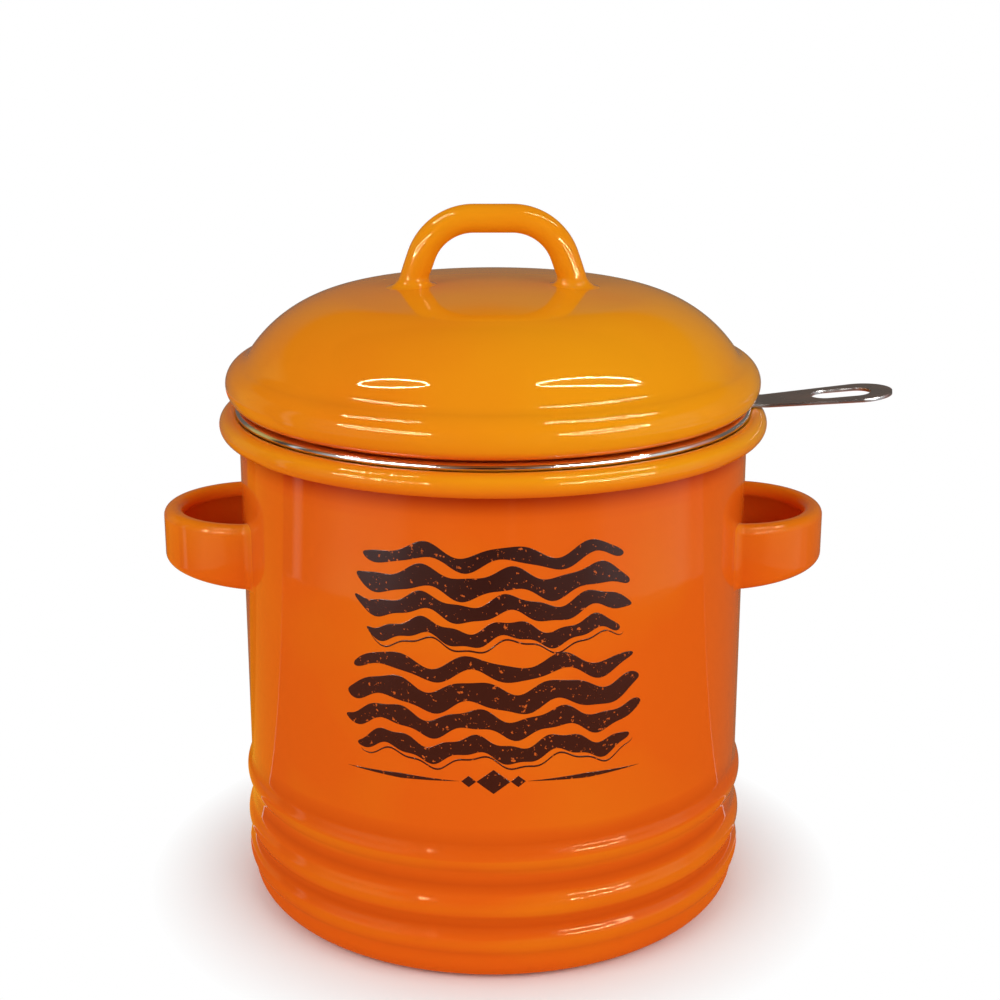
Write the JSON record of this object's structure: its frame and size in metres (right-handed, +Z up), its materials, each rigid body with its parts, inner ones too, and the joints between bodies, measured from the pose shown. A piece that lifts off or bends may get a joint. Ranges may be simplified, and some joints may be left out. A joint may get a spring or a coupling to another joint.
{
  "type": "bacon grease container",
  "caption": "Enamelled steel grease storage pot with loop side grips, a drop-in stainless strainer on a slotted strap handle, and a lift-off domed lid with an arched handle.",
  "frame": {"origin": "middle of the pot's flat base, on the surface it stands on", "axes": "+Z up along the pot's axis, +X towards the strainer's handle with the side grips along X, +Y towards the back"},
  "size_m": [0.1833, 0.136, 0.1761],
  "materials": {
    "orange_enamel": "glossy vitreous enamel on steel",
    "polished_stainless": "mirror polished",
    "stainless_mesh": "woven wire",
    "satin_stainless": "satin"
  },
  "bodies": {
    "pot": {"pot_shell": "orange_enamel", "right_side_handle": "orange_enamel", "left_side_handle": "orange_enamel"},
    "strainer": {"strainer_bowl": "polished_stainless", "strainer_mesh": "stainless_mesh", "mesh_clamp_ring": "polished_stainless", "strainer_handle": "satin_stainless"},
    "lid": {"lid_shell": "orange_enamel", "lid_handle": "orange_enamel"}
  },
  "joints": [
    {"name": "strainer_lift", "type": "slide", "parent": "pot", "child": "strainer", "axis": [0, 0, 1], "range_m": [0, 0.0233]},
    {"name": "lid_lift", "type": "slide", "parent": "strainer", "child": "lid", "axis": [0, 0, 1], "range_m": [0, 0.0157]}
  ]
}
